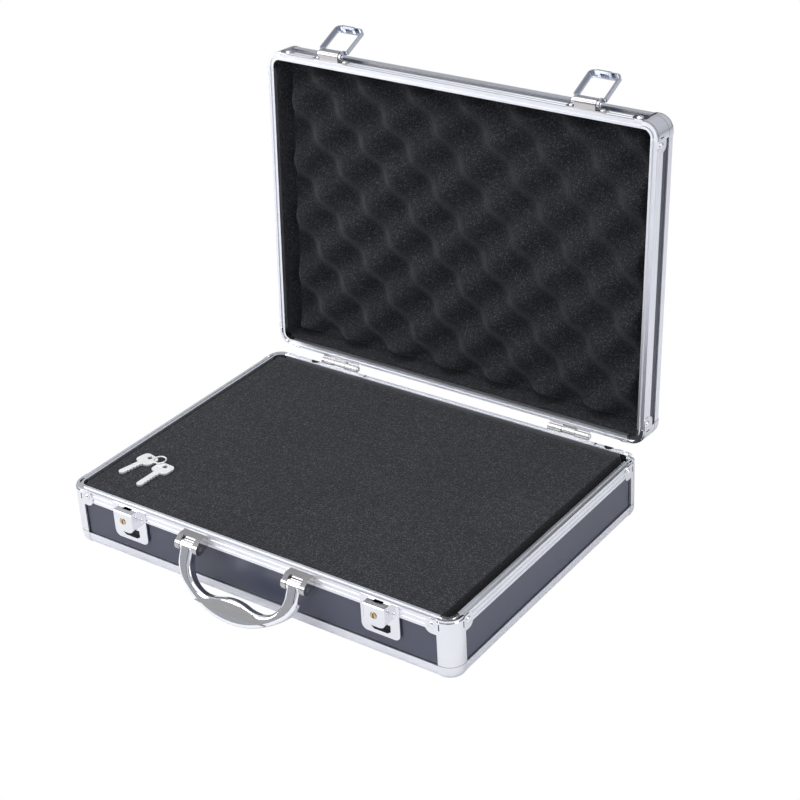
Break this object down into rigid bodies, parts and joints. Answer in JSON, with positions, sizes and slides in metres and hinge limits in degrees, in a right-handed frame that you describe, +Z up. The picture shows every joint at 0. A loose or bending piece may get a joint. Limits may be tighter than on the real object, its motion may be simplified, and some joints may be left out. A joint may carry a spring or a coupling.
{
  "type": "tool case",
  "caption": "Small aluminium-framed tool case, open, with dark textured panels, foam lining, two key locks and a carrying handle.",
  "frame": {"origin": "centre of the base's flat underside", "axes": "+Z up out of the base, -Y towards the handle and latches, +X along the long side to the right seen from the front"},
  "size_m": [0.3544, 0.3392, 0.3278],
  "materials": {
    "rail_aluminium": "satin",
    "chrome_fittings": "polished",
    "panel_sheet": "textured",
    "base_foam_black": "matte",
    "lid_foam_black": "matte",
    "brass_cylinder": "polished",
    "inlay_satin": "satin",
    "key_steel": "polished",
    "bolt_steel": "brushed"
  },
  "bodies": {
    "base": {"base_corner_caps": "chrome_fittings", "base_corner_inserts": "chrome_fittings", "base_corner_posts": "chrome_fittings", "base_corner_rivets": "chrome_fittings", "base_edge_rails": "rail_aluminium", "base_floor_panel": "panel_sheet", "base_foam": "base_foam_black", "base_panel_back": "panel_sheet", "base_panel_front": "panel_sheet", "base_panel_left": "panel_sheet", "base_panel_right": "panel_sheet", "base_rim_rail_back": "rail_aluminium", "base_rim_rail_front": "rail_aluminium", "base_rim_rail_left": "rail_aluminium", "base_rim_rail_right": "rail_aluminium", "bracket_rivets": "chrome_fittings", "handle_bracket_left": "chrome_fittings", "handle_bracket_right": "chrome_fittings", "handle_pins": "chrome_fittings", "hinge_base_leaf_left": "chrome_fittings", "hinge_base_leaf_right": "chrome_fittings", "hinge_pins": "chrome_fittings", "hinge_rivets_base": "chrome_fittings", "key_first": "key_steel", "key_ring": "key_steel", "key_second": "key_steel", "latch_plate_left": "chrome_fittings", "latch_plate_right": "chrome_fittings", "latch_rivets": "chrome_fittings", "lock_box_left": "chrome_fittings", "lock_box_right": "chrome_fittings"},
    "handle": {"handle": "chrome_fittings", "handle_inlay": "inlay_satin"},
    "hasp_loop_left": {"hasp_loop_left": "chrome_fittings"},
    "hasp_loop_right": {"hasp_loop_right": "chrome_fittings"},
    "lid": {"hasp_pins": "chrome_fittings", "hasp_plate_left": "chrome_fittings", "hasp_plate_right": "chrome_fittings", "hasp_rivets": "chrome_fittings", "hinge_lid_leaf_left": "chrome_fittings", "hinge_lid_leaf_right": "chrome_fittings", "hinge_rivets_lid": "chrome_fittings", "lid_corner_caps": "chrome_fittings", "lid_corner_inserts": "chrome_fittings", "lid_corner_posts": "chrome_fittings", "lid_corner_rivets": "chrome_fittings", "lid_edge_rails": "rail_aluminium", "lid_foam": "lid_foam_black", "lid_rim_rail_back": "rail_aluminium", "lid_rim_rail_front": "rail_aluminium", "lid_rim_rail_left": "rail_aluminium", "lid_rim_rail_right": "rail_aluminium", "lid_side_panels": "panel_sheet", "lid_top_panel": "panel_sheet"},
    "lock_bolt_left": {"lock_bolt_left": "bolt_steel"},
    "lock_bolt_right": {"lock_bolt_right": "bolt_steel"},
    "lock_cylinder_left": {"lock_cylinder_left": "brass_cylinder"},
    "lock_cylinder_right": {"lock_cylinder_right": "brass_cylinder"}
  },
  "joints": [
    {"name": "lid_hinge", "type": "hinge", "parent": "base", "child": "lid", "pos_m": [0, 0.1315, 0.0492], "axis": [1, 0, 0], "range_deg": [0, 93.7]},
    {"name": "handle_pivot", "type": "hinge", "parent": "base", "child": "handle", "pos_m": [0, -0.1358, 0.0412], "axis": [-1, 0, 0], "range_deg": [-24, 66]},
    {"name": "hasp_left", "type": "hinge", "parent": "lid", "child": "hasp_loop_left", "pos_m": [-0.115, 0.15357, 0.31142], "axis": [1, 0, 0], "range_deg": [0, 152]},
    {"name": "key_left", "type": "hinge", "parent": "base", "child": "lock_cylinder_left", "pos_m": [-0.115, -0.132, 0.0399], "axis": [0, 1, 0], "range_deg": [0, 90]},
    {"name": "bolt_left", "type": "slide", "parent": "base", "child": "lock_bolt_left", "axis": [0, 0, -1], "range_m": [0, 0.0032]},
    {"name": "hasp_right", "type": "hinge", "parent": "lid", "child": "hasp_loop_right", "pos_m": [0.115, 0.15357, 0.31142], "axis": [1, 0, 0], "range_deg": [0, 152]},
    {"name": "key_right", "type": "hinge", "parent": "base", "child": "lock_cylinder_right", "pos_m": [0.115, -0.132, 0.0399], "axis": [0, 1, 0], "range_deg": [0, 90]},
    {"name": "bolt_right", "type": "slide", "parent": "base", "child": "lock_bolt_right", "axis": [0, 0, -1], "range_m": [0, 0.0032]}
  ],
  "couplings": [
    {"joint": "key_left", "follows": "bolt_left", "rad_per_m": 490.8},
    {"joint": "key_right", "follows": "bolt_right", "rad_per_m": 490.8}
  ]
}
